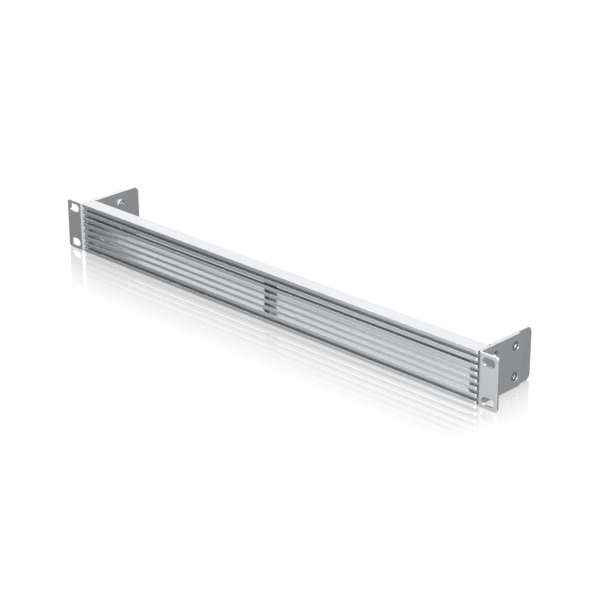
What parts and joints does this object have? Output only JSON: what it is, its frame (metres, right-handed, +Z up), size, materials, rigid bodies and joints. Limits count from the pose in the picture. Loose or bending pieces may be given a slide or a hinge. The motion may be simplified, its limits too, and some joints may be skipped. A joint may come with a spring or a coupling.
{
  "type": "vented rack blanking panel",
  "caption": "Silver one-unit vented blanking panel for a 19-inch rack: slatted face on a deep frame, side walls and screwed-on slotted ears.",
  "frame": {"origin": "centre of the rack hole pattern, on the plane where the backs of the ears meet the rack rails", "axes": "+X to the right seen from the front, +Y into the rack, +Z up"},
  "size_m": [0.4826, 0.0634, 0.044],
  "materials": {
    "face_metal": "satin silver",
    "frame_metal": "satin silver",
    "wall_metal": "satin silver",
    "bracket_metal": "satin silver",
    "screw_steel": "zinc plated",
    "nut_steel": "zinc plated"
  },
  "bodies": {
    "root": {"slatted_face": "face_metal", "rear_frame": "frame_metal", "left_side_wall": "wall_metal", "right_side_wall": "wall_metal", "left_rack_bracket": "bracket_metal", "right_rack_bracket": "bracket_metal", "left_bracket_screws": "screw_steel", "right_bracket_screws": "screw_steel", "left_clinch_nuts": "nut_steel", "right_clinch_nuts": "nut_steel"}
  },
  "joints": []
}
